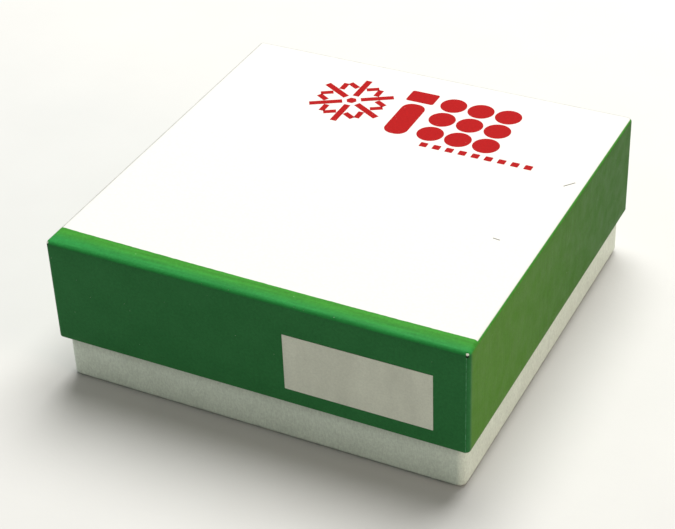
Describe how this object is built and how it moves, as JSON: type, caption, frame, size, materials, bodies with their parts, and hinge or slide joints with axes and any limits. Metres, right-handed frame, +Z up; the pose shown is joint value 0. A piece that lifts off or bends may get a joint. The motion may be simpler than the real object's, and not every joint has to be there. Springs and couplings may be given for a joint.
{
  "type": "cryogenic storage box",
  "caption": "Square paper-wrapped chipboard freezer box with a telescoping lid over a shallow base and a loose egg-crate card divider for upright cryovials.",
  "frame": {"origin": "centre of the underside of the base", "axes": "+Z up; -Y to the front, where the lid carries its write-on label; +X to the right of the front"},
  "size_m": [0.1334, 0.1335, 0.0498],
  "materials": {
    "chipboard": "uncoated grey chipboard",
    "base_paper": "off-white satin wrapping paper",
    "lid_print": "coated paper printed green, top left white",
    "label_paper": "matte write-on paper",
    "stay_paper": "kraft tape",
    "divider_card": "uncoated white card"
  },
  "bodies": {
    "base": {"base_board": "chipboard", "base_wrap": "base_paper", "base_stay_front_left": "stay_paper", "base_stay_front_right": "stay_paper", "base_stay_back_right": "stay_paper", "base_stay_back_left": "stay_paper"},
    "divider": {"divider_strip_x1": "divider_card", "divider_strip_x2": "divider_card", "divider_strip_x3": "divider_card", "divider_strip_x4": "divider_card", "divider_strip_x5": "divider_card", "divider_strip_x6": "divider_card", "divider_strip_x7": "divider_card", "divider_strip_x8": "divider_card", "divider_strip_y1": "divider_card", "divider_strip_y2": "divider_card", "divider_strip_y3": "divider_card", "divider_strip_y4": "divider_card", "divider_strip_y5": "divider_card", "divider_strip_y6": "divider_card", "divider_strip_y7": "divider_card", "divider_strip_y8": "divider_card"},
    "lid": {"lid_board": "chipboard", "lid_wrap": "lid_print", "write_on_label": "label_paper", "lid_stay_front_left": "stay_paper", "lid_stay_front_right": "stay_paper", "lid_stay_back_right": "stay_paper", "lid_stay_back_left": "stay_paper"}
  },
  "joints": [
    {"name": "divider_lift", "type": "slide", "parent": "base", "child": "divider", "axis": [0, 0, 1], "range_m": [0, 0.05]},
    {"name": "lid_lift", "type": "slide", "parent": "divider", "child": "lid", "axis": [0, 0, 1], "range_m": [0, 0.045]}
  ]
}
